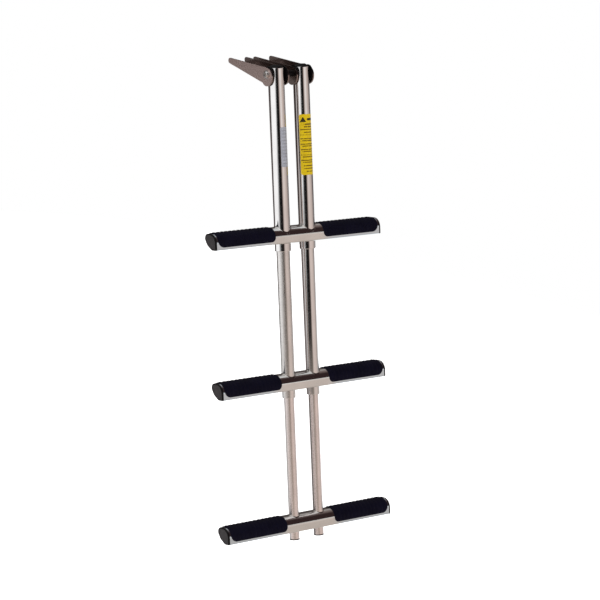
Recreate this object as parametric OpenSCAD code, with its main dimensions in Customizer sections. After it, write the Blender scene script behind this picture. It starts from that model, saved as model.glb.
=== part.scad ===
// Three-step telescoping boarding ladder on two deck brackets, in mm.
// +Z is up from the deck, +X runs along the steps and +Y points inboard.
// The origin is the centre of the four deck holes, on the deck.

/* [Ladder] */
// Angle between the hanging ladder and the vertical
lean = 18.5; // [16:0.5:20]
// Distance between the two upright centres
upright_spacing = 56; // [52:1:60]
// Pivot to the middle of the top step
top_step_drop = 294.8; // [280:0.2:310]
// Top step to middle step, fully extended
middle_drop = 274.5; // [255:0.5:290]
// Middle step to bottom step, fully extended
bottom_drop = 268; // [255:0.5:290]
// Tube left showing below each step
tube_tail = 31; // [27:1:36]

/* [Uprights] */
// Outer tube outside diameter
outer_d = 30; // [29.6:0.1:30.1]
// Middle tube outside diameter
middle_d = 25; // [24:0.5:25.5]
// Lower tube outside diameter
lower_d = 19; // [18:0.5:20]
// Tube wall thickness
tube_wall = 1.5; // [1.2:0.1:1.6]
// Length of the guide bushings at the tube ends
guide_length = 31; // [27:1:36]
// Length of the glide collars at the hidden tube tops
collar_length = 25; // [20:1:30]
// Running gap between nylon and steel, on the radius
glide_gap = 0.1; // [0.05:0.01:0.15]

/* [Steps] */
// Step length over the end caps
step_length = 375; // [345:5:400]
// Height of the step tube section
step_height = 30.1; // [29.7:0.1:30.6]
// Depth of the step tube section, front to back
step_depth = 34.5; // [34.1:0.1:35]
// Thickness of the step tube wall
step_wall = 1.6; // [1.2:0.1:1.6]
// Thickness of the rubber treads
tread_thickness = 1.6; // [1.2:0.1:2]
// Inner end of each tread, from the middle of the step
tread_start = 54.5; // [52:0.5:66]
// Steel left showing between tread and end cap
tread_margin = 3; // [2:0.5:8]
// Thickness of the end cap flange
cap_flange = 3.5; // [2.5:0.5:5]

/* [Deck brackets] */
// Height of the pivot above the deck
pivot_height = 19; // [18.9:0.1:19.6]
// Plate thickness of the brackets
plate = 2.5; // [2:0.1:2.5]
// Bracket length behind the pivot
bracket_reach = 128; // [118:1:140]
// Bracket height at the back end
back_height = 11; // [10:0.5:14]
// Pivot to the middle of the deck holes
pivot_to_holes = 70; // [66:1:74]
// Distance between the two deck holes of a bracket
hole_spacing = 75; // [65:1:80]
// Deck screw hole diameter
hole_d = 6.6; // [5.5:0.1:7]
// Countersink diameter
countersink_d = 12; // [10:0.5:12.5]

/* [Pivot] */
// Pivot bolt diameter
bolt_d = 8; // [7.5:0.1:8.5]
// Thrust washer thickness
thrust_washer = 1.8; // [1.6:0.1:1.9]
// Thrust washer diameter
thrust_d = 30; // [24:1:30]

/* [Hidden] */
$fn = 96;
half_step = step_length / 2 - cap_flange;
half_gap = outer_d / 2 + 2;
outer_face = upright_spacing / 2 + half_gap + plate;
outer_end = -top_step_drop - tube_tail;
middle_step_z = -top_step_drop - middle_drop;
middle_end = middle_step_z - tube_tail;
lower_step_z = middle_step_z - bottom_drop;
lower_end = lower_step_z - tube_tail;
tube_top = 11.4;
top_sweep = norm([outer_d / 2, tube_top]);
middle_top = outer_end + guide_length + 0.2 + collar_length;
lower_top = middle_end + guide_length + 0.2 + collar_length;
bush_r = 6;
bolt_gap = 0.05;
nose_r = 17;
nose_y = 0.7;
nose_z = -5;
tail_r = 5;
tail_y = bracket_reach - tail_r;
tail_z = -pivot_height + back_height - tail_r;
web_y = (outer_d / 2 - (pivot_height - plate) * sin(lean)) / cos(lean) + 0.2;
toe_y = -16.75;
toe_z = -15.8;
heel_y = toe_y + step_depth;
crown_z = toe_z + step_height;
// Round corners of the step section: inboard, up, radius, first and last angle.
section_arcs = [
    [heel_y - 8.8, crown_z - 8.8, 8.8, -34, 90],
    [toe_y + 17.2, crown_z - 17.5, 17.2, 92, 180],
    [toe_y + 2, toe_z + 2, 2, 180, 270],
    [toe_y + 12.6, toe_z + 4, 4, 270, 300],
    [toe_y + 21.9, toe_z + 14.3, 8, 302, 325]
];
tread_low = 4.8;
steel = "gainsboro";
black = "dimgray";

// ---- placing ----
module at_pivot() translate([0, -pivot_to_holes, pivot_height]) children();

module on_ladder() at_pivot() rotate([-lean, 0, 0]) children();

module on_upright(side) on_ladder() translate([side * upright_spacing / 2, 0, 0]) children();

// Extrudes a profile drawn with inboard to the right and up to the top along X.
module along_x(x0, x1) translate([x0, 0, 0]) rotate([90, 0, 90]) linear_extrude(x1 - x0) children();

module x_cylinder(r, x0, x1) translate([x0, 0, 0]) rotate([0, 90, 0]) cylinder(h = x1 - x0, r = r);

module ring(r_out, r_in, z0, z1) translate([0, 0, z0]) difference() {
    cylinder(h = z1 - z0, r = r_out);
    translate([0, 0, -1]) cylinder(h = z1 - z0 + 2, r = r_in);
}

// ---- brackets ----
// Outline of one side plate: a round nose that dips in front of the deck edge,
// straight edges and a small round tail.
function arc(y, z, r, a0, a1, steps) =
    [for (i = [0:steps]) let (a = a0 + (a1 - a0) * i / steps) [y + r * cos(a), z + r * sin(a)]];

module side_outline() {
    run = tail_y - nose_y;
    rise = tail_z - nose_z;
    top_angle = atan2(rise, run) + acos((nose_r - tail_r) / norm([run, rise]));
    dip_angle = 360 - asin((pivot_height + nose_z) / nose_r);
    polygon(concat(
        arc(nose_y, nose_z, nose_r, top_angle, dip_angle, 48),
        arc(tail_y, tail_z, tail_r, -90, top_angle, 16)
    ));
}

module bracket(side) translate([side * upright_spacing / 2, 0, 0]) difference() {
    at_pivot() difference() {
        union() {
            for (s = [-1, 1])
                along_x(s > 0 ? half_gap : -half_gap - plate, s > 0 ? half_gap + plate : -half_gap)
                    side_outline();
            translate([-half_gap - 1, web_y, -pivot_height])
                cube([2 * half_gap + 2, tail_y - 1 - web_y, plate]);
        }
        x_cylinder(bolt_d / 2 + bolt_gap, -outer_face, outer_face);
    }
    for (s = [-1, 1]) translate([0, s * hole_spacing / 2, 0]) {
        translate([0, 0, -1]) cylinder(h = plate + 2, r = hole_d / 2);
        translate([0, 0, plate - 1.4])
            cylinder(h = 1.4, r1 = hole_d / 2, r2 = countersink_d / 2);
    }
}

module left_bracket() color(steel) bracket(-1);

module right_bracket() color(steel) bracket(1);

// ---- pivot ----
module pivot_bolt() color(steel) at_pivot() {
    x_cylinder(bolt_d / 2, -outer_face - 1.6, outer_face + 6.4);
    translate([-outer_face - 1.6, 0, 0]) rotate([0, -90, 0]) difference() {
        rotate_extrude() polygon(concat(
            [[0, 0], [6.5, 0]],
            [for (a = [0:10:60]) [2.9 + 3.6 * cos(a), 0.8 + 3.7 * sin(a)]],
            [[0, 4]]
        ));
        translate([0, 0, 1.7]) cylinder(h = 3, r = 2.9, $fn = 6);
    }
}

module pivot_nut() color(steel) at_pivot() difference() {
    union() {
        translate([outer_face + 1.6, 0, 0]) rotate([0, 90, 0]) cylinder(h = 3.2, r = 7.5, $fn = 6);
        x_cylinder(5.8, outer_face + 4, outer_face + 5.8);
    }
    x_cylinder(bolt_d / 2, outer_face, outer_face + 8);
}

module disc(r_out, r_in, x0, x1) difference() {
    x_cylinder(r_out, x0, x1);
    x_cylinder(r_in, x0 - 1, x1 + 1);
}

module pivot_washers() color(steel) at_pivot() {
    disc(8, bolt_d / 2 + 0.2, -outer_face - 1.6, -outer_face);
    disc(8, bolt_d / 2 + 0.2, outer_face, outer_face + 1.6);
}

module thrust_washers() color(black) at_pivot()
    for (side = [-1, 1]) translate([side * upright_spacing / 2, 0, 0]) {
        disc(thrust_d / 2, bolt_d / 2 + bolt_gap, -half_gap, thrust_washer - half_gap);
        disc(thrust_d / 2, bolt_d / 2 + bolt_gap, half_gap - thrust_washer, half_gap);
    }

module centre_spacer() color(black) at_pivot() {
    half_space = upright_spacing / 2 - half_gap - plate;
    disc(6, bolt_d / 2 + 0.2, -half_space, half_space);
}

module pivot_bushings() color(black) for (side = [-1, 1]) on_upright(side)
    disc(bush_r, bolt_d / 2 + bolt_gap, -outer_d / 2, outer_d / 2);

// ---- upper section ----
module outer_tube(side) color(steel) on_upright(side) difference() {
    ring(outer_d / 2, outer_d / 2 - tube_wall, outer_end, tube_top);
    x_cylinder(bush_r, -outer_d, outer_d);
}

module tube_cap(side) color(black) on_upright(side) rotate_extrude() {
    intersection() {
        circle(top_sweep);
        translate([0, tube_top]) square([outer_d / 2, 5.6]);
    }
    translate([0, tube_top - 4.4]) square([outer_d / 2 - tube_wall, 4.4]);
}

module guide(side, d_out, d_in, z_end) color(black) on_upright(side)
    ring(d_out / 2 - tube_wall, d_in / 2 + glide_gap, z_end, z_end + guide_length);

module collar(side, d_out, d_in, z_top) color(black) on_upright(side)
    ring(d_out / 2 - tube_wall - glide_gap, d_in / 2, z_top - collar_length, z_top);

module sliding_tube(side, d, z_end, z_top) color(steel) on_upright(side)
    ring(d / 2, d / 2 - tube_wall, z_end, z_top);

// Label wrapped round the front of an outer tube, turned by turn degrees to its right.
module label(side, z0, z1, turn, half_angle) on_upright(side) rotate([0, 0, turn])
    translate([0, 0, z0]) intersection() {
        ring(outer_d / 2 + 0.25, outer_d / 2, 0, z1 - z0);
        linear_extrude(z1 - z0) polygon([
            [0, 0],
            [-30 * sin(half_angle), -30 * cos(half_angle)],
            [-30 * sin(half_angle), -40],
            [30 * sin(half_angle), -40],
            [30 * sin(half_angle), -30 * cos(half_angle)]
        ]);
    }

module yellow_label() color("gold") label(1, -188, -76, 0, 62);

module silver_label() color("lightsteelblue") label(-1, -170, -97, 27, 48);

// ---- steps ----
// Step tube section grown by g: round at the top and back, upright at the front with a
// square lower corner.
module step_profile(g) polygon([
    for (c = section_arcs) let (steps = ceil((c[4] - c[3]) / 4))
        for (i = [0:steps]) let (a = c[3] + (c[4] - c[3]) * i / steps)
            [c[0] + (c[2] + g) * cos(a), c[1] + (c[2] + g) * sin(a)]
]);

module step_tube(z, d) color(steel) on_ladder() translate([0, 0, z]) difference() {
    along_x(-half_step, half_step) step_profile(0);
    along_x(-half_step - 1, half_step + 1) step_profile(-step_wall);
    for (side = [-1, 1]) translate([side * upright_spacing / 2, 0, -30])
        cylinder(h = 60, r = d / 2);
}

// Front view of a tread with its lower corners rounded.
module tread_outline(x0, x1, low, r) {
    translate([x0 + r, low + r]) circle(r);
    translate([x1 - r, low + r]) circle(r);
    translate([x0 + r, low]) square([x1 - x0 - 2 * r, 40]);
    translate([x0, low + r]) square([x1 - x0, 40]);
}

module tread(side, z) color(black) on_ladder() translate([0, 0, z])
    mirror([side < 0 ? 1 : 0, 0, 0]) {
        x1 = half_step - tread_margin;
        difference() {
            intersection() {
                along_x(tread_start, x1) step_profile(tread_thickness);
                union() {
                    rotate([90, 0, 0]) linear_extrude(30)
                        tread_outline(tread_start, x1, toe_z + tread_low, 9);
                    rotate([-90, 0, 0]) mirror([0, 1, 0]) linear_extrude(30)
                        tread_outline(tread_start, x1, -6, 9);
                }
            }
            along_x(tread_start - 1, x1 + 1) step_profile(0);
        }
    }

module end_cap(side, z) color(black) on_ladder() translate([0, 0, z])
    mirror([side < 0 ? 1 : 0, 0, 0]) {
        along_x(half_step, half_step + cap_flange) step_profile(0);
        difference() {
            along_x(half_step - 14, half_step) step_profile(-step_wall);
            along_x(half_step - 15, half_step)
                translate([(toe_y + heel_y) / 2 - 1, (toe_z + crown_z) / 2 + 1]) circle(9);
        }
    }

module upper_step() step_tube(-top_step_drop, outer_d);

module middle_step() step_tube(middle_step_z, middle_d);

module lower_step() step_tube(lower_step_z, lower_d);

// ---- lower end ----
module foot_plug(side) color(black) on_upright(side) {
    translate([0, 0, lower_end - 2]) cylinder(h = 2, r = lower_d / 2);
    translate([0, 0, lower_end]) cylinder(h = 10, r = lower_d / 2 - tube_wall);
}

// ---- drawing ----
left_bracket();
right_bracket();
pivot_bolt();
pivot_nut();
pivot_washers();
thrust_washers();
centre_spacer();
outer_tube(-1);  // outer_tube_left
outer_tube(1);  // outer_tube_right
pivot_bushings();
tube_cap(-1);  // tube_cap_left
tube_cap(1);  // tube_cap_right
guide(-1, outer_d, middle_d, outer_end);  // outer_guide_left
guide(1, outer_d, middle_d, outer_end);  // outer_guide_right
upper_step();
tread(-1, -top_step_drop);  // upper_tread_left
tread(1, -top_step_drop);  // upper_tread_right
end_cap(-1, -top_step_drop);  // upper_end_cap_left
end_cap(1, -top_step_drop);  // upper_end_cap_right
yellow_label();
silver_label();
sliding_tube(-1, middle_d, middle_end, middle_top);  // middle_tube_left
sliding_tube(1, middle_d, middle_end, middle_top);  // middle_tube_right
collar(-1, outer_d, middle_d, middle_top);  // middle_collar_left
collar(1, outer_d, middle_d, middle_top);  // middle_collar_right
guide(-1, middle_d, lower_d, middle_end);  // middle_guide_left
guide(1, middle_d, lower_d, middle_end);  // middle_guide_right
middle_step();
tread(-1, middle_step_z);  // middle_tread_left
tread(1, middle_step_z);  // middle_tread_right
end_cap(-1, middle_step_z);  // middle_end_cap_left
end_cap(1, middle_step_z);  // middle_end_cap_right
sliding_tube(-1, lower_d, lower_end, lower_top);  // lower_tube_left
sliding_tube(1, lower_d, lower_end, lower_top);  // lower_tube_right
collar(-1, middle_d, lower_d, lower_top);  // lower_collar_left
collar(1, middle_d, lower_d, lower_top);  // lower_collar_right
foot_plug(-1);  // foot_plug_left
foot_plug(1);  // foot_plug_right
lower_step();
tread(-1, lower_step_z);  // lower_tread_left
tread(1, lower_step_z);  // lower_tread_right
end_cap(-1, lower_step_z);  // lower_end_cap_left
end_cap(1, lower_step_z);  // lower_end_cap_right
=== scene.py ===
import math

import bpy
from mathutils import Matrix, Vector


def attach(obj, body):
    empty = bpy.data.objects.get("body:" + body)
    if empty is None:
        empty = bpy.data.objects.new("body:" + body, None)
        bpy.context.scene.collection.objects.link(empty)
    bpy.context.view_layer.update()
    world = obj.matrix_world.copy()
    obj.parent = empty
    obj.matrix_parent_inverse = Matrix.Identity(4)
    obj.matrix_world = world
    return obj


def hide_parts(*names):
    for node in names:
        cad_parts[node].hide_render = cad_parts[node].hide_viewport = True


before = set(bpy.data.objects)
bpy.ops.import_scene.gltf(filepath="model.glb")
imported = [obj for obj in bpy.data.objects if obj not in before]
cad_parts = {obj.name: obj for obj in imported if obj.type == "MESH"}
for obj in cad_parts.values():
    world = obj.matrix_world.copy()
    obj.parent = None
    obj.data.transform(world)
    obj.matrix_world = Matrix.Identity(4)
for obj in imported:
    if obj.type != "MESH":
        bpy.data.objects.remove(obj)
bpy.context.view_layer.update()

MM = 0.001

# ---- sizes shared with the CAD model, in millimetres ----
LEAN = math.radians(18.5)
PIVOT = Vector((0.0, -0.070, 0.019))
# from the ladder's own axes, +Z up its tubes, to the shared frame
LADDER = Matrix.Translation(PIVOT) @ Matrix.Rotation(-LEAN, 4, "X")
UPRIGHT_X = 56.0 / 2
STEP_LENGTH = 375.0
CAP_FLANGE = 3.5
HALF_STEP = STEP_LENGTH / 2 - CAP_FLANGE
PLUG_LENGTH, PLUG_INSET = 14.0, 1.7
TOP_STEP_DROP, MIDDLE_DROP, BOTTOM_DROP = 294.8, 274.5, 268.0
STEP_Z = {
    "upper": -TOP_STEP_DROP,
    "middle": -TOP_STEP_DROP - MIDDLE_DROP,
    "lower": -TOP_STEP_DROP - MIDDLE_DROP - BOTTOM_DROP}
TUBE_R = {"upper": 15.0, "middle": 12.5, "lower": 9.5}
TUBE_WALL = 1.5
TAIL = 31.0
GUIDE_LENGTH, COLLAR_GAP, COLLAR_LENGTH = 31.0, 0.2, 25.0
HIDDEN = GUIDE_LENGTH + COLLAR_GAP + COLLAR_LENGTH
TUBE_TOP = {
    "upper": 11.4,
    "middle": STEP_Z["upper"] - TAIL + HIDDEN,
    "lower": STEP_Z["middle"] - TAIL + HIDDEN}
# round corners of the step section: inboard, up, radius, first and last angle
CROWN = (0.45, -3.2, 17.2, 180.0, 92.0)
HEEL = (8.95, 5.5, 8.8, 90.0, -34.0)
REAR = (5.15, -1.5, 8.0, -35.0, -58.0)
KEEL = (-4.15, -11.8, 4.0, -60.0, -90.0)
TOE = (-14.75, -13.8, 2.0, -90.0, -180.0)
FRONT_Y = CROWN[0] - CROWN[2]
TREAD_MARGIN = 3.0
TREAD_START, TREAD_END = 54.5, HALF_STEP - TREAD_MARGIN
LEVELS = ("upper", "middle", "lower")
SIDES = ((-1, "left"), (1, "right"))


# ---------------------------------------------------------------- materials
class Nodes:
    """Short helper for building a material's node tree."""

    def __init__(self, tree):
        self.tree = tree
        tree.nodes.clear()

    def add(self, kind, inputs=None, **settings):
        node = self.tree.nodes.new(kind)
        for key, value in settings.items():
            setattr(node, key, value)
        for key, value in (inputs or {}).items():
            if isinstance(value, bpy.types.NodeSocket):
                self.tree.links.new(value, node.inputs[key])
            else:
                node.inputs[key].default_value = value
        return node

    def math(self, operation, a, b=0.0, c=0.0):
        return self.add("ShaderNodeMath", {0: a, 1: b, 2: c}, operation=operation).outputs[0]

    def map_range(self, value, first, last, low, high):
        return self.add("ShaderNodeMapRange", {
            0: value, 1: first, 2: last, 3: low, 4: high}).outputs[0]

    def mix(self, factor, a, b):
        node = self.add("ShaderNodeMix", data_type="RGBA")
        for index, value in ((0, factor), (6, a), (7, b)):
            if isinstance(value, bpy.types.NodeSocket):
                self.tree.links.new(value, node.inputs[index])
            else:
                node.inputs[index].default_value = value
        return node.outputs[2]

    def ramp(self, factor, stops):
        node = self.add("ShaderNodeValToRGB", {0: factor})
        elements = node.color_ramp.elements
        while len(elements) > 1:
            elements.remove(elements[-1])
        for index, (place, colour) in enumerate(stops):
            element = elements[0] if index == 0 else elements.new(place)
            element.position = place
            element.color = colour
        return node.outputs[0]


def rgb(red, green, blue):
    return (red, green, blue, 1.0)


def grey(value):
    return rgb(value, value, value)


# colour of the painted shade on the strips between the uprights and on the brackets' inner faces
SHADE = rgb(0.24, 0.195, 0.18)
# the treads' cool tint, painted on the step steel near them as a reflection
PAINTED_TREAD_REFLECTION = rgb(0.68, 0.79, 0.88)
# metres from the ladder's middle; only the brackets' outer faces lie beyond
OUTER_FACES_FROM = 0.036


def new_material(name):
    material = bpy.data.materials.new(name)
    material.use_nodes = True
    return material, Nodes(material.node_tree)


def ladder_coordinates(n, stretch):
    """Row-frame position turned into the ladder's own axes and stretched."""
    place = n.add("ShaderNodeTexCoord").outputs["Object"]
    turned = n.add("ShaderNodeMapping", {0: place, 2: (LEAN, 0.0, 0.0)}).outputs[0]
    return n.add("ShaderNodeMapping", {0: turned, 3: stretch}).outputs[0]


def sideways(n):
    """Place along X, and how far the surface faces away from the ladder's middle."""
    sides = n.add("ShaderNodeTexCoord")
    place = n.add("ShaderNodeSeparateXYZ", {0: sides.outputs["Object"]}).outputs[0]
    facing = n.add("ShaderNodeSeparateXYZ", {0: sides.outputs["Normal"]}).outputs[0]
    return place, n.math("MULTIPLY", n.math("SIGN", place), facing)


def painted_shade_between_uprights(n):
    """Painted shade: 1 on the narrow strips where the two uprights face each other, painted dark as
    if each shaded the other, else 0.
    """
    inward = n.math("MULTIPLY", sideways(n)[1], -1.0)
    return n.ramp(inward, [(0.0, grey(0)), (0.945, grey(0)), (0.985, grey(0.75)), (1.0, grey(1))])


def painted_bracket_shade(n):
    """Painted shade: 0 on the brackets' open outer faces, near 1 on the faces inside and between
    them, painted darker as if in each other's shade.
    """
    place, outward = sideways(n)
    far = n.math("GREATER_THAN", n.math("ABSOLUTE", place), OUTER_FACES_FROM)
    return n.ramp(n.math("MULTIPLY", outward, far), [
        (0.0, grey(0.88)), (0.6, grey(0.88)), (0.9, grey(0))])


def step_ends(n):
    """Painted reflection: 0 between the uprights, 1 out by the treads, where the steel is painted
    with the treads' cool tint as if reflecting them.
    """
    return n.ramp(n.math("ABSOLUTE", sideways(n)[0]), [(0.05, grey(0)), (0.075, grey(1))])


def steel_material(name, light, dark, rough, stretch, relief=0.10, painted_light_mask=None, painted_light_colour=SHADE):
    """Stainless steel with polishing streaks, faint smudges and fine scratches; an optional mask
    mixes painted shade or a painted reflection into its colour.
    """
    material, n = new_material(name)
    streaks = n.add("ShaderNodeTexNoise", {
        "Vector": ladder_coordinates(n, stretch), "Scale": 60.0, "Detail": 5.0}).outputs[0]
    smudge = n.add("ShaderNodeTexNoise", {
        "Vector": ladder_coordinates(n, (1, 1, 1)), "Scale": 26.0, "Detail": 3.0}).outputs[0]
    colour = n.mix(n.ramp(smudge, [(0.35, grey(0)), (0.7, grey(1))]), light, dark)
    # painted light: where the mask is 1 the colour turns to painted shade or a painted reflection
    if painted_light_mask:
        colour = n.mix(painted_light_mask(n), colour, painted_light_colour)
    mixed = n.math("MULTIPLY_ADD", streaks, 0.55, n.math("MULTIPLY", smudge, 0.45))
    roughness = n.map_range(mixed, 0.3, 0.7, *rough)
    bump = n.add("ShaderNodeBump", {
        "Strength": relief, "Distance": 0.0001, "Height": streaks}).outputs[0]
    shader = n.add("ShaderNodeBsdfPrincipled", {
        "Base Color": colour, "Metallic": 1.0, "Roughness": roughness, "Normal": bump})
    n.add("ShaderNodeOutputMaterial", {0: shader.outputs[0]})
    return material


def moulded_material(name, light, dark, rough, grain_scale, grain):
    """Black rubber, nylon or moulded plastic with a fine grain and faint dust."""
    material, n = new_material(name)
    place = n.add("ShaderNodeTexCoord").outputs["Object"]
    fine = n.add("ShaderNodeTexNoise", {
        "Vector": place, "Scale": grain_scale, "Detail": 4.0}).outputs[0]
    broad = n.add("ShaderNodeTexNoise", {
        "Vector": place, "Scale": 45.0, "Detail": 3.0}).outputs[0]
    cells = n.add("ShaderNodeTexVoronoi", {"Vector": place, "Scale": grain_scale * 0.8}).outputs[0]
    mixed = n.math("MULTIPLY_ADD", fine, 0.6, n.math("MULTIPLY", broad, 0.4))
    colour = n.mix(n.ramp(mixed, [(0.38, grey(0)), (0.62, grey(1))]), dark, light)
    roughness = n.map_range(fine, 0.3, 0.7, *rough)
    bump = n.add("ShaderNodeBump", {
        "Strength": grain, "Distance": 0.0003,
        "Height": n.math("MULTIPLY_ADD", cells, 0.5, fine)}).outputs[0]
    shader = n.add("ShaderNodeBsdfPrincipled", {
        "Base Color": colour, "Roughness": roughness, "Normal": bump,
        "Specular IOR Level": 0.15})
    n.add("ShaderNodeOutputMaterial", {0: shader.outputs[0]})
    return material


def film_material(name, light, dark, rough):
    """Printed label film: slightly uneven ink under a clear glossy face."""
    material, n = new_material(name)
    place = ladder_coordinates(n, (1, 1, 1))
    print_noise = n.add("ShaderNodeTexNoise", {
        "Vector": place, "Scale": 420.0, "Detail": 2.0}).outputs[0]
    wear = n.add("ShaderNodeTexNoise", {
        "Vector": place, "Scale": 70.0, "Detail": 5.0}).outputs[0]
    mixed = n.math("MULTIPLY_ADD", print_noise, 0.5, n.math("MULTIPLY", wear, 0.5))
    colour = n.mix(n.ramp(mixed, [(0.4, grey(0)), (0.62, grey(1))]), light, dark)
    roughness = n.map_range(wear, 0.3, 0.7, *rough)
    bump = n.add("ShaderNodeBump", {
        "Strength": 0.15, "Distance": 0.0001, "Height": wear}).outputs[0]
    shader = n.add("ShaderNodeBsdfPrincipled", {
        "Base Color": colour, "Roughness": roughness, "Normal": bump,
        "Specular IOR Level": 0.25})
    n.add("ShaderNodeOutputMaterial", {0: shader.outputs[0]})
    return material


# POLISHED, SOFT and SATIN carry painted shade between the uprights, STEP_STEEL a painted reflection
# of the treads, SHEET painted shade inside the brackets
POLISHED = steel_material(
    "polished_stainless", rgb(0.86, 0.85, 0.85), rgb(0.80, 0.79, 0.79), (0.04, 0.10), (9, 9, 0.5),
    painted_light_mask=painted_shade_between_uprights)
SOFT = steel_material(
    "soft_polished_stainless", rgb(0.86, 0.84, 0.83), rgb(0.80, 0.78, 0.77), (0.16, 0.24),
    (9, 9, 0.5), painted_light_mask=painted_shade_between_uprights)
SATIN = steel_material(
    "satin_stainless", rgb(0.97, 0.90, 0.89), rgb(0.89, 0.82, 0.81), (0.20, 0.28), (9, 9, 0.5),
    painted_light_mask=painted_shade_between_uprights)
STEP_STEEL = steel_material(
    "polished_step_steel", rgb(0.80, 0.81, 0.80), rgb(0.73, 0.74, 0.73), (0.06, 0.14), (0.5, 9, 9),
    painted_light_mask=step_ends, painted_light_colour=PAINTED_TREAD_REFLECTION)
SHEET = steel_material(
    "bracket_sheet_steel", rgb(0.90, 0.72, 0.68), rgb(0.83, 0.66, 0.62), (0.22, 0.28),
    (9, 0.6, 9), relief=0.03, painted_light_mask=painted_bracket_shade)
FASTENER = steel_material(
    "fastener_steel", rgb(0.68, 0.66, 0.65), rgb(0.56, 0.54, 0.53), (0.16, 0.30), (3, 3, 3),
    relief=0.2)
WELD = steel_material(
    "polished_weld", rgb(0.74, 0.72, 0.71), rgb(0.62, 0.58, 0.54), (0.12, 0.26), (4, 4, 4),
    relief=0.35)
RUBBER = moulded_material(
    "tread_rubber", rgb(0.0034, 0.0030, 0.0120), rgb(0.0012, 0.0010, 0.0060), (0.7, 0.9),
    900.0, 0.3)
CAP_BLACK = moulded_material(
    "moulded_cap", rgb(0.048, 0.044, 0.046), rgb(0.030, 0.027, 0.029), (0.42, 0.6), 1400.0, 0.35)
NYLON = moulded_material(
    "black_nylon", rgb(0.005, 0.004, 0.005), rgb(0.002, 0.002, 0.002), (0.35, 0.5), 1600.0, 0.2)
YELLOW = film_material(
    "yellow_film", rgb(0.76, 0.56, 0.010), rgb(0.66, 0.46, 0.008), (0.35, 0.5))
SILVER = film_material(
    "silver_film", rgb(0.42, 0.44, 0.50), rgb(0.33, 0.35, 0.40), (0.3, 0.5))
INK = film_material("dark_ink", rgb(0.020, 0.017, 0.006), rgb(0.05, 0.04, 0.008), (0.3, 0.5))
AMBER_INK = film_material("amber_ink", rgb(0.15, 0.095, 0.006), rgb(0.22, 0.14, 0.007), (0.3, 0.5))
GREY_INK = film_material("grey_ink", rgb(0.24, 0.25, 0.28), rgb(0.30, 0.31, 0.34), (0.3, 0.5))


# ---------------------------------------------------------------- mesh helpers
ROUND_STEPS = 96
ROUND = [2 * math.pi * i / ROUND_STEPS for i in range(ROUND_STEPS)]


def make_piece(name, parts, body, replaces=(), smooth_angle=35.0):
    """Builds one piece from (points in ladder mm, faces, material) parts and rides it."""
    points, faces, face_materials, materials = [], [], [], []
    for part_points, part_faces, material in parts:
        if material not in materials:
            materials.append(material)
        base = len(points)
        points += [Vector(p) * MM for p in part_points]
        faces += [[base + i for i in face] for face in part_faces]
        face_materials += [materials.index(material)] * len(part_faces)
    mesh = bpy.data.meshes.new(name)
    mesh.from_pydata(points, [], faces)
    for material in materials:
        mesh.materials.append(material)
    mesh.polygons.foreach_set("material_index", face_materials)
    mesh.transform(LADDER)
    mesh.validate()
    mesh.shade_smooth()
    mesh.set_sharp_from_angle(angle=math.radians(smooth_angle))
    piece = bpy.data.objects.new(name, mesh)
    bpy.context.scene.collection.objects.link(piece)
    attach(piece, body)
    if replaces:
        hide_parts(*replaces)
    return piece


def skin(rings, loop=False):
    """Faces between closed rings of points; loop joins the ends instead of capping them."""
    count = len(rings[0])
    points = [p for ring in rings for p in ring]
    faces = []
    last = len(rings) if loop else len(rings) - 1
    for r in range(last):
        a, b = r * count, ((r + 1) % len(rings)) * count
        for i in range(count):
            j = (i + 1) % count
            faces.append([a + i, a + j, b + j, b + i])
    if not loop:
        faces.append(list(reversed(range(count))))
        faces.append([(len(rings) - 1) * count + i for i in range(count)])
    return points, faces


def walls(across, along):
    """Faces round the edge between two sheets of along rows by across columns."""
    lower = across * along
    border = list(range(across)) + [r * across + across - 1 for r in range(1, along)]
    border += [(along - 1) * across + c for c in range(across - 2, -1, -1)]
    border += [r * across for r in range(along - 2, 0, -1)]
    return [[a, lower + a, lower + b, b] for a, b in zip(border, border[1:] + border[:1])]


def double_sheet(across, along):
    """Faces of two sheets of along rows by across columns, the outer sheet first."""
    lower = across * along
    faces = []
    for row in range(along - 1):
        for column in range(across - 1):
            a = row * across + column
            quad = [a, a + 1, a + across + 1, a + across]
            faces.append(quad)
            faces.append([lower + i for i in reversed(quad)])
    return faces + walls(across, along)


def joined_sheets(across, along):
    """Faces of an outer and an inner sheet that share the points of their border."""
    def inner(row, column):
        if row in (0, along - 1) or column in (0, across - 1):
            return row * across + column
        return across * along + (row - 1) * (across - 2) + column - 1

    faces = []
    for row in range(along - 1):
        for column in range(across - 1):
            a = row * across + column
            faces.append([a, a + 1, a + across + 1, a + across])
            faces.append([inner(row + 1, column), inner(row + 1, column + 1),
                          inner(row, column + 1), inner(row, column)])
    return faces


def mirrored(part):
    """The same part on the other side of the ladder, with its faces turned back."""
    points, faces, material = part
    return [(-x, y, z) for x, y, z in points], [face[::-1] for face in faces], material


def on_side(side, part):
    return part if side > 0 else mirrored(part)


def arc_rows(corners, grow=0.0, step=3.0):
    """Rows (y, z, normal y, normal z) along round corners joined by straight lines."""
    rows = []
    for y, z, radius, first, last in corners:
        count = max(int(math.ceil(abs(last - first) / step)), 1)
        for i in range(count + 1):
            angle = math.radians(first + (last - first) * i / count)
            ny, nz = math.cos(angle), math.sin(angle)
            rows.append((y + (radius + grow) * ny, z + (radius + grow) * nz, ny, nz))
    return rows


def section_loop(grow):
    """Closed outline of the step section grown by grow, clockwise from the front."""
    return [row[:2] for row in arc_rows((CROWN, HEEL, REAR, KEEL, TOE), grow)]


def surface_at(y, rows):
    """Height of the step's skin at depth y, from rows running front to back."""
    for (y0, z0, _, _), (y1, z1, _, _) in zip(rows, rows[1:]):
        if y0 <= y <= y1 and y1 > y0:
            return z0 + (z1 - z0) * (y - y0) / (y1 - y0)
    return rows[0][1]


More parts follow.
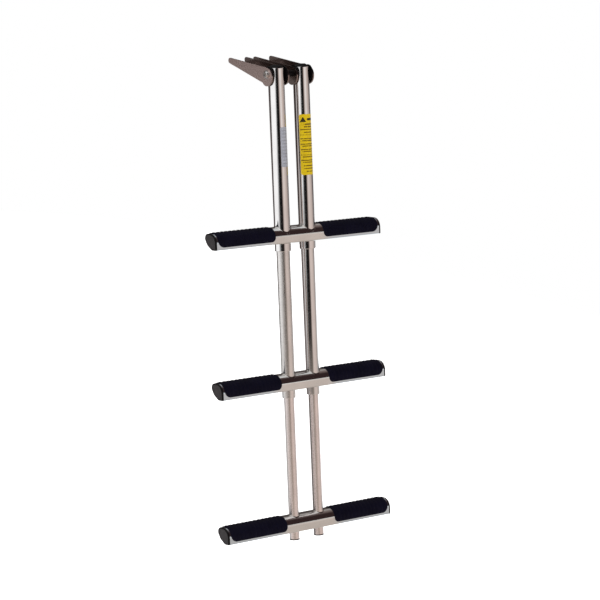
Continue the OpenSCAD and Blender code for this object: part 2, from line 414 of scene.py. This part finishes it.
# upper and lower skin of the step, each from its front edge to its back
UPPER_SKIN = arc_rows((CROWN, HEEL), step=1.0)
LOWER_SKIN = sorted(row for row in arc_rows((TOE, KEEL, REAR, HEEL), step=1.0) if row[1] < 5.0)


def top_surface(y):
    return surface_at(y, UPPER_SKIN)


def bottom_surface(y):
    return surface_at(y, LOWER_SKIN)


# ---------------------------------------------------------------- uprights
def tube_part(x, radius, z_low, z_high, material):
    """Hollow tube with softly rounded rims."""
    inner = radius - TUBE_WALL
    rim = 0.45
    # one tube end from the bore outwards: radius, distance in from the end
    end = [(inner, 2 * rim), (inner, rim), (inner + rim, 0.0), (radius - rim, 0.0),
           (radius - rim * 0.3, rim * 0.3), (radius, rim), (radius, 2 * rim)]
    outline = [(r, z_low + d) for r, d in end] + [(r, z_high - d) for r, d in reversed(end)]
    rings = [[(x + r * math.cos(a), r * math.sin(a), z) for a in ROUND] for r, z in outline]
    points, faces = skin(rings, loop=True)
    return points, faces, material


NODE_PREFIX = {"upper": "outer_tube", "middle": "middle_tube", "lower": "lower_tube"}
TUBE_FINISH = {
    ("upper", "left"): POLISHED, ("upper", "right"): POLISHED, ("middle", "left"): SOFT,
    ("middle", "right"): POLISHED, ("lower", "left"): SATIN, ("lower", "right"): SATIN}
for level in LEVELS:
    for side, word in SIDES:
        low = STEP_Z[level] - TAIL
        make_piece(
            f"{level}_upright_{word}",
            [tube_part(side * UPRIGHT_X, TUBE_R[level], low, TUBE_TOP[level],
                       TUBE_FINISH[level, word])],
            f"{level}_section", [f"{NODE_PREFIX[level]}_{word}"])


# ---------------------------------------------------------------- weld beads
BEAD_SINK = 0.3
UPPER_BEAD, LOWER_BEAD = 2.4, 1.3


def bead_part(x, radius, z_step, surface, leg, direction, phase):
    """Ring of weld round one upright where it meets the step tube."""
    inside = radius - BEAD_SINK
    rings = []
    for a in ROUND:
        ripple = 1.0 + 0.07 * math.sin(17 * a + phase) + 0.04 * math.sin(31 * a + 2 * phase)
        size = leg * ripple * (1.0 - 0.45 * abs(math.sin(a)))
        # distance from the tube's axis, distance where the step's skin is met, rise above it
        profile = [(inside, radius, size)]
        for t in (0.0, 0.25, 0.5, 0.75, 1.0):
            hollow = 1.0 - math.sqrt(1.0 - (1.0 - t) ** 2)
            profile.append((radius + size * t, radius + size * t, size * hollow))
        profile += [(radius + size, radius + size, -BEAD_SINK), (inside, inside, -BEAD_SINK)]
        rings.append([(x + rho * math.cos(a), rho * math.sin(a),
                       z_step + surface(met * math.sin(a)) + direction * rise)
                      for rho, met, rise in profile])
    points, faces = skin(rings, loop=True)
    if direction < 0:
        faces = [face[::-1] for face in faces]
    return points, faces, WELD


for index, level in enumerate(LEVELS):
    beads = []
    for side in (-1, 1):
        beads.append(bead_part(side * UPRIGHT_X, TUBE_R[level], STEP_Z[level], top_surface,
                               UPPER_BEAD, 1.0, index + side))
        beads.append(bead_part(side * UPRIGHT_X, TUBE_R[level], STEP_Z[level], bottom_surface,
                               LOWER_BEAD, -1.0, index - side))
    make_piece(f"{level}_weld_beads", beads, f"{level}_section",
               smooth_angle=60.0)


# ---------------------------------------------------------------- treads
FRONT_LOW, REAR_LOW = -11.0, -6.0
PAD, RIB, RIB_PITCH = 1.0, 0.58, 9.0
TREAD_GAP, TREAD_ROLL = 0.02, 1.2
INNER_CORNER, OUTER_CORNER = 9.0, 13.0


def tread_path():
    """Run of the tread round the step: (distance, y, z, normal y, normal z) rows."""
    rows = [(FRONT_Y, FRONT_LOW, -1.0, 0.0)] + arc_rows((CROWN, HEEL), step=1.0)
    over, under = rows[-1], arc_rows((REAR,))[0]
    t = (over[1] - REAR_LOW) / (over[1] - under[1])
    rows.append(tuple(a + (b - a) * t for a, b in zip(over, under)))
    path, run = [], 0.0
    for row in rows:
        if path:
            run += math.hypot(row[0] - path[-1][1], row[1] - path[-1][2])
        path.append((run,) + row)
    return path


TREAD_PATH = tread_path()
TREAD_RUN = TREAD_PATH[-1][0]


def tread_point(x, s, height):
    """Point of a tread at distance s round the step from its front lower edge."""
    index = 1
    while index < len(TREAD_PATH) - 1 and TREAD_PATH[index][0] < s:
        index += 1
    before, after = TREAD_PATH[index - 1], TREAD_PATH[index]
    t = (s - before[0]) / max(after[0] - before[0], 1e-9)
    y, z, ny, nz = (a + (b - a) * t for a, b in zip(before[1:], after[1:]))
    return (x, y + ny * height, z + nz * height)


def corner_inset(s, radius):
    """How far a round corner pulls the tread's end in at distance s round the step."""
    near = min(s, TREAD_RUN - s)
    if near >= radius:
        return 0.0
    return radius - math.sqrt(radius ** 2 - (radius - near) ** 2)


def graded(length, step):
    """Places along a length, close together at both ends."""
    edge = [0.0, 0.15, 0.4, 0.8, 1.3, 2.0, 3.0, 4.0]
    inner = length - 2 * edge[-1]
    count = max(int(round(inner / step)), 1)
    middle = [edge[-1] + inner * i / count for i in range(1, count)]
    return edge + middle + [length - e for e in reversed(edge)]


def tread_height(x, s, start, end):
    """Height of the ribbed face above the step, rolled down to nothing at the pad's edges."""
    edge = max(min(s, TREAD_RUN - s, x - start, end - x), 0.0)
    roll = 1.0 - min(edge / TREAD_ROLL, 1.0)
    fade = min(max((edge - 1.5) / 2.5, 0.0), 1.0)
    wave = math.sin(2 * math.pi * (x - TREAD_START) / RIB_PITCH)
    rib = RIB * fade * min(max(0.55 + 1.1 * wave, 0.0), 1.0)
    return TREAD_GAP + PAD * math.sqrt(1.0 - roll ** 2) + rib


def tread_part():
    """Ribbed rubber pad wrapped round the step, with rolled edges and round corners."""
    rows = graded(TREAD_RUN, 1.6)
    columns = [c / (TREAD_END - TREAD_START) for c in graded(TREAD_END - TREAD_START, 0.9)]
    ribbed, flat = [], []
    for s in rows:
        start = TREAD_START + corner_inset(s, INNER_CORNER)
        end = TREAD_END - corner_inset(s, OUTER_CORNER)
        for c in columns:
            x = start + (end - start) * c
            ribbed.append(tread_point(x, s, tread_height(x, s, start, end)))
            if s not in (rows[0], rows[-1]) and c not in (columns[0], columns[-1]):
                flat.append(tread_point(x, s, TREAD_GAP))
    return ribbed + flat, joined_sheets(len(columns), len(rows)), RUBBER


def raised_by(part, z):
    points, faces, material = part
    return [(x, y, pz + z) for x, y, pz in points], faces, material


TREAD = tread_part()
for level in LEVELS:
    for side, word in SIDES:
        make_piece(f"{level}_ribbed_tread_{word}", [on_side(side, raised_by(TREAD, STEP_Z[level]))],
                   f"{level}_section", [f"{level}_tread_{word}"],
                   smooth_angle=50.0)


# ---------------------------------------------------------------- end caps
def cap_part():
    """Moulded cap: a plug inside the step tube and a flange with a rolled rim."""
    outer = HALF_STEP + CAP_FLANGE
    # place along the step, growth of its outline: the plug, the flange, the rolled rim
    rims = [(HALF_STEP - PLUG_LENGTH, -PLUG_INSET), (HALF_STEP, -PLUG_INSET),
            (HALF_STEP, -0.15), (HALF_STEP + 0.2, 0.0), (outer - 1.3, 0.0),
            (outer - 0.7, -0.12), (outer - 0.25, -0.45), (outer, -1.0)]
    rings = [[(x, y, z) for y, z in section_loop(grow)] for x, grow in rims]
    edge = section_loop(-1.0)
    middle_y = sum(y for y, _ in edge) / len(edge)
    middle_z = sum(z for _, z in edge) / len(edge)
    # shallow dish in the outer face: depth, size of the outline
    for dip, scale in ((0.0, 0.96), (0.4, 0.93), (0.4, 0.90), (0.3, 0.5), (0.25, 0.04)):
        rings.append([(outer - dip, middle_y + (y - middle_y) * scale,
                       middle_z + (z - middle_z) * scale) for y, z in edge])
    points, faces = skin(rings)
    faces = [turned[::-1] for turned in faces]
    rim_faces = len(edge) * (len(rims) + 1)
    return [(points, faces[:rim_faces], NYLON), (points, faces[rim_faces:], CAP_BLACK)]


CAP = cap_part()
for level in LEVELS:
    for side, word in SIDES:
        make_piece(f"{level}_moulded_cap_{word}",
                   [on_side(side, raised_by(part, STEP_Z[level])) for part in CAP],
                   f"{level}_section", [f"{level}_end_cap_{word}"])


# ---------------------------------------------------------------- labels
def wrapped(x, radius, angle, z):
    """Point on a tube, angle measured in degrees from its front towards +X."""
    a = math.radians(angle)
    return (x + radius * math.sin(a), -radius * math.cos(a), z)


def patch(x, radius, thick, outline, material, steps=28):
    """Curved patch between rows of (z, first angle, last angle)."""
    points = []
    for r in (radius + thick, radius):
        for z, first, last in outline:
            for i in range(steps + 1):
                points.append(wrapped(x, r, first + (last - first) * i / steps, z))
    return points, double_sheet(steps + 1, len(outline)), material


def rounded_outline(z_low, z_high, first, last, corner, radius):
    """Rows of a rounded rectangle wrapped on a tube of the given radius."""
    degrees = math.degrees(1.0 / radius)
    rows = []
    for i in range(7):
        t = corner * (1.0 - math.cos(math.pi / 2 * i / 6))
        inset = (corner - math.sqrt(max(corner ** 2 - (corner - t) ** 2, 0.0))) * degrees
        rows.append((t, inset))
    low = [(z_low + t, first + inset, last - inset) for t, inset in rows]
    high = [(z_high - t, first + inset, last - inset) for t, inset in reversed(rows)]
    return low + high


LABEL_R = TUBE_R["upper"]
LABEL_GAP, LABEL_FILM, INK_FILM = 0.02, 0.2, 0.07
MARK_R = LABEL_R + LABEL_FILM
TRIANGLE_ROWS, TRIANGLE_FOOT, TRIANGLE_AT = 9, -90.4, -34.0
SILVER_ROWS, SILVER_TOP, SILVER_PITCH = 11, -104.0, 6.0
BAR_GAP = 1.5
# rows of plain bars: low edge, first and last angle, height
BAR_ROWS = (
    (-96.0, -28, 46, 2.8), (-100.4, -28, 40, 2.4), (-105.0, -56, 50, 1.8), (-110.4, -30, 34, 2.0),
    (-115.0, -56, 50, 2.0), (-122.0, -56, 44, 1.9), (-125.6, -44, 50, 1.9), (-132.0, -56, 50, 1.9),
    (-135.6, -44, 42, 1.9), (-142.0, -56, 50, 1.9), (-145.6, -44, 36, 1.9), (-152.0, -56, 48, 1.9),
    (-155.6, -44, 50, 1.9), (-162.0, -56, 50, 1.9), (-165.6, -44, 40, 1.9), (-172.0, -40, 50, 2.0),
    (-177.0, -40, 44, 2.0), (-182.4, -20, 40, 1.8))
# low edge, high edge, first and last angle on the tube
YELLOW_SPAN = (-188.0, -76.0, -62.0, 62.0)
SILVER_SPAN = (-170.0, -97.0, -21.0, 75.0)


def film_part(x, span, corner, material):
    outline = rounded_outline(*span, corner, LABEL_R)
    return patch(x, LABEL_R + LABEL_GAP, LABEL_FILM, outline, material)


def bar(x, first, last, z, height, material):
    return patch(x, MARK_R, INK_FILM, [(z, first, last), (z + height, first, last)], material, 8)


def yellow_label():
    """Plain warning-style label: a triangle, a bar and rows of broken bars, no words."""
    parts = [film_part(UPRIGHT_X, YELLOW_SPAN, 4.0, YELLOW)]
    triangle = []
    for i in range(TRIANGLE_ROWS):
        half = 2.6 * (TRIANGLE_ROWS - i)
        triangle.append((TRIANGLE_FOOT + 1.1 * i, TRIANGLE_AT - half, TRIANGLE_AT + half))
    parts.append(patch(UPRIGHT_X, MARK_R, INK_FILM, triangle, INK, 10))
    parts.append(bar(UPRIGHT_X, -4.0, 46.0, -87.6, 4.2, INK))
    for z, first, last, height in BAR_ROWS:
        gap = first + (last - first) * (0.35 + 0.3 * math.sin(z))
        parts.append(bar(UPRIGHT_X, first, gap - BAR_GAP, z, height, AMBER_INK))
        parts.append(bar(UPRIGHT_X, gap + BAR_GAP, last, z, height, AMBER_INK))
    make_piece("yellow_label_film", parts, "upper_section", ["yellow_label"])


def silver_label():
    """Pale label with plain bars of uneven length."""
    parts = [film_part(-UPRIGHT_X, SILVER_SPAN, 1.5, SILVER)]
    for i in range(SILVER_ROWS):
        first = -10.0 + 7.0 * math.sin(3.1 * i) ** 2
        last = 50.0 + 14.0 * math.sin(2.3 * i)
        low = SILVER_TOP - SILVER_PITCH * i
        parts.append(bar(-UPRIGHT_X, first, last, low, 1.3, GREY_INK))
    make_piece("silver_label_film", parts, "upper_section", ["silver_label"])


yellow_label()
silver_label()


# ---------------------------------------------------------------- CAD nodes that stay
CAD_LOOKS = {
    "left_bracket": SHEET, "right_bracket": SHEET, "pivot_bolt": FASTENER,
    "pivot_nut": FASTENER, "pivot_washers": FASTENER, "thrust_washers": NYLON,
    "centre_spacer": NYLON, "pivot_bushings": NYLON,
    "upper_step": STEP_STEEL, "middle_step": STEP_STEEL, "lower_step": STEP_STEEL,
    "tube_cap_left": NYLON, "tube_cap_right": NYLON,
    "foot_plug_left": CAP_BLACK, "foot_plug_right": CAP_BLACK,
}
for name in ("outer_guide", "middle_guide", "middle_collar", "lower_collar"):
    for _, word in SIDES:
        CAD_LOOKS[f"{name}_{word}"] = NYLON
for name, material in CAD_LOOKS.items():
    for material_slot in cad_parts[name].material_slots:
        material_slot.material = material


# ---------------------------------------------------------------- studio
PANEL_LEAN = 2.2
WHITE, DIM, CEILING = grey(1.1), rgb(0.09, 0.075, 0.07), rgb(0.035, 0.02, 0.02)
FLOOR_RADIUS, FLOOR_HEIGHT = 2.6, -1.3
CAMERA_ANGLES = (38.11, 21.88, 9.106)
CAMERA_PLACE = (-2.4223, -3.2991, 1.2001)
CAMERA_LENS = 136.58
LIGHTS_AIM = (0.0, -0.1, -0.4)


def at(degrees):
    """Place of an azimuth on a ramp that runs all the way round."""
    return 0.5 + degrees / 360.0


def panel(degrees):
    """Place of a leaning panel's edge on its ramp."""
    return 0.5 + (degrees - 8.0 * PANEL_LEAN) / 480.0


def level_colours(n, azimuth, height):
    """White and black panels and a beige wall, leaning: their edges move round as they rise."""
    held = n.math("MINIMUM", n.math("MAXIMUM", height, -25.0), 18.0)
    leaning = n.math("MULTIPLY_ADD", held, -PANEL_LEAN, azimuth)
    return n.ramp(n.math("MULTIPLY_ADD", leaning, 1.0 / 480.0, 0.5), [
        (0.0, DIM), (panel(-85), DIM), (panel(-79), WHITE), (panel(-59), WHITE),
        (panel(-55), grey(0.45)), (panel(-51), grey(0.010)), (panel(-30), grey(0.005)),
        (panel(-25), rgb(0.15, 0.115, 0.10)), (panel(-16), rgb(0.60, 0.51, 0.47)),
        (panel(-5), rgb(0.70, 0.585, 0.535)), (panel(45), rgb(0.64, 0.54, 0.49)),
        (panel(75), rgb(0.46, 0.38, 0.35)), (panel(95), rgb(0.34, 0.29, 0.27)),
        (panel(113), rgb(0.13, 0.11, 0.11)), (panel(150), DIM), (1.0, DIM)])


def lower_colours(n, turn):
    """The floor side of the studio."""
    return n.ramp(turn, [
        (0.0, grey(0.40)), (at(-125), grey(0.40)), (at(-105), rgb(0.60, 0.56, 0.52)),
        (at(-90), rgb(0.66, 0.58, 0.53)), (at(-60), rgb(0.64, 0.55, 0.50)),
        (at(-40), rgb(0.54, 0.46, 0.40)), (at(-20), rgb(0.50, 0.43, 0.37)),
        (at(0), rgb(0.60, 0.51, 0.46)), (at(40), rgb(0.56, 0.48, 0.43)),
        (at(70), rgb(0.50, 0.46, 0.43)), (at(86), grey(0.85)), (at(100), WHITE),
        (at(135), WHITE), (at(150), grey(0.5)), (1.0, grey(0.4))])


def lower_border(n, turn):
    """Height, in degrees, at which the floor side begins to give way to the panels."""
    share = n.ramp(turn, [
        (0.0, grey(0.18)), (at(-150), grey(0.20)), (at(-130), grey(0.30)), (at(-110), grey(0.36)),
        (at(-95), grey(0.437)), (at(-80), grey(0.53)), (at(-70), grey(0.58)),
        (at(-55), grey(0.653)), (at(-40), grey(0.717)), (at(-22), grey(0.77)),
        (at(10), grey(0.78)), (at(40), grey(0.667)), (at(70), grey(0.60)), (at(85), grey(0.548)),
        (at(100), grey(0.475)), (at(120), grey(0.37)), (at(140), grey(0.30)), (1.0, grey(0.18))])
    return n.math("MULTIPLY_ADD", share, 60.0, -40.0)


def high_colours(n, turn):
    """Dark ceiling over the front, lighter behind the ladder."""
    return n.ramp(turn, [
        (0.0, grey(0.42)), (at(-130), grey(0.75)), (at(-60), grey(0.75)),
        (at(-30), CEILING), (at(78), CEILING),
        (at(105), rgb(0.14, 0.10, 0.095)), (at(128), rgb(0.24, 0.19, 0.18)),
        (at(142), rgb(0.42, 0.39, 0.38)), (1.0, grey(0.42))])


def studio_world():
    """Soft studio: white panels to the left and behind, a warm wall to the right."""
    world = bpy.data.worlds.new("studio")
    world.use_nodes = True
    bpy.context.scene.world = world
    n = Nodes(world.node_tree)
    way = n.add("ShaderNodeSeparateXYZ", {0: n.add("ShaderNodeTexCoord").outputs["Generated"]})
    azimuth = n.math("MULTIPLY", n.math(
        "ARCTAN2", way.outputs[0], n.math("MULTIPLY", way.outputs[1], -1.0)), 180.0 / math.pi)
    height = n.math("MULTIPLY", n.math("ARCSINE", way.outputs[2]), 180.0 / math.pi)
    turn = n.math("MULTIPLY_ADD", azimuth, 1.0 / 360.0, 0.5)
    above = n.math("SUBTRACT", height, lower_border(n, turn))
    low_mix = n.map_range(above, 0.0, 3.6, 1.0, 0.0)
    strip = n.ramp(turn, [(at(5), grey(0)), (at(20), grey(1)), (at(60), grey(1)), (at(75), grey(0))])
    front_mix = n.math("MULTIPLY", strip, n.map_range(height, 12.0, 15.0, 0.0, 1.0))
    colour = n.mix(low_mix, level_colours(n, azimuth, height), lower_colours(n, turn))
    colour = n.mix(front_mix, colour, rgb(0.86, 0.81, 0.78))
    # the ceiling above 18 degrees, plain white overhead
    colour = n.mix(n.map_range(height, 18.0, 22.0, 0.0, 1.0), colour, high_colours(n, turn))
    colour = n.mix(n.map_range(height, 60.0, 72.0, 0.0, 1.0), colour, grey(1.0))
    seen = n.add("ShaderNodeLightPath").outputs["Is Camera Ray"]
    colour = n.mix(seen, colour, grey(1.0))
    background = n.add("ShaderNodeBackground", {0: colour, 1: 1.0})
    n.add("ShaderNodeOutputWorld", {0: background.outputs[0]})


def area_light(name, place, target, size, power):
    light = bpy.data.lights.new(name, "AREA")
    light.shape = "DISK"
    light.size = size
    light.energy = power
    lamp = bpy.data.objects.new(name, light)
    lamp.location = place
    lamp.rotation_mode = "QUATERNION"
    lamp.rotation_quaternion = (Vector(target) - Vector(place)).to_track_quat("-Z", "Y")
    lamp.visible_camera = False
    lamp.visible_glossy = False
    bpy.context.scene.collection.objects.link(lamp)


def pale_floor():
    """Round floor well below the ladder, so that no hard shadow shows."""
    material, n = new_material("pale_floor")
    place = n.add("ShaderNodeTexCoord").outputs["Object"]
    tone = n.add("ShaderNodeTexNoise", {"Vector": place, "Scale": 3.0}).outputs[0]
    colour = n.mix(tone, grey(0.93), grey(0.96))
    shader = n.add("ShaderNodeBsdfPrincipled", {
        "Base Color": colour, "Roughness": 0.9, "Emission Color": grey(1.0),
        "Emission Strength": 1.0})
    n.add("ShaderNodeOutputMaterial", {0: shader.outputs[0]})
    points = [(FLOOR_RADIUS * math.cos(a), FLOOR_RADIUS * math.sin(a), FLOOR_HEIGHT)
              for a in ROUND]
    mesh = bpy.data.meshes.new("floor")
    mesh.from_pydata(points, [], [list(range(ROUND_STEPS))])
    mesh.materials.append(material)
    floor = bpy.data.objects.new("floor", mesh)
    bpy.context.scene.collection.objects.link(floor)
    floor.visible_glossy = False


def photo_camera():
    """Camera at the photograph's viewing angle."""
    azimuth, elevation, roll = (math.radians(angle) for angle in CAMERA_ANGLES)
    forward = Vector((math.sin(azimuth) * math.cos(elevation),
                      math.cos(azimuth) * math.cos(elevation), -math.sin(elevation)))
    level_right = Vector((math.cos(azimuth), -math.sin(azimuth), 0.0))
    level_up = level_right.cross(forward)
    right = level_right * math.cos(roll) + level_up * math.sin(roll)
    up = level_up * math.cos(roll) - level_right * math.sin(roll)
    data = bpy.data.cameras.new("camera")
    data.lens = CAMERA_LENS
    data.sensor_width = 36.0
    data.clip_start, data.clip_end = 0.1, 100.0
    camera = bpy.data.objects.new("camera", data)
    matrix = Matrix((right, up, -forward)).transposed().to_4x4()
    matrix.translation = Vector(CAMERA_PLACE)
    camera.matrix_world = matrix
    bpy.context.scene.collection.objects.link(camera)
    bpy.context.scene.camera = camera


studio_world()
area_light("key_light", (-2.6, -2.2, 2.6), LIGHTS_AIM, 1.6, 60.0)
area_light("fill_light", (2.4, -2.4, 1.2), LIGHTS_AIM, 1.6, 24.0)
pale_floor()
photo_camera()
bpy.context.scene.view_settings.view_transform = "Standard"
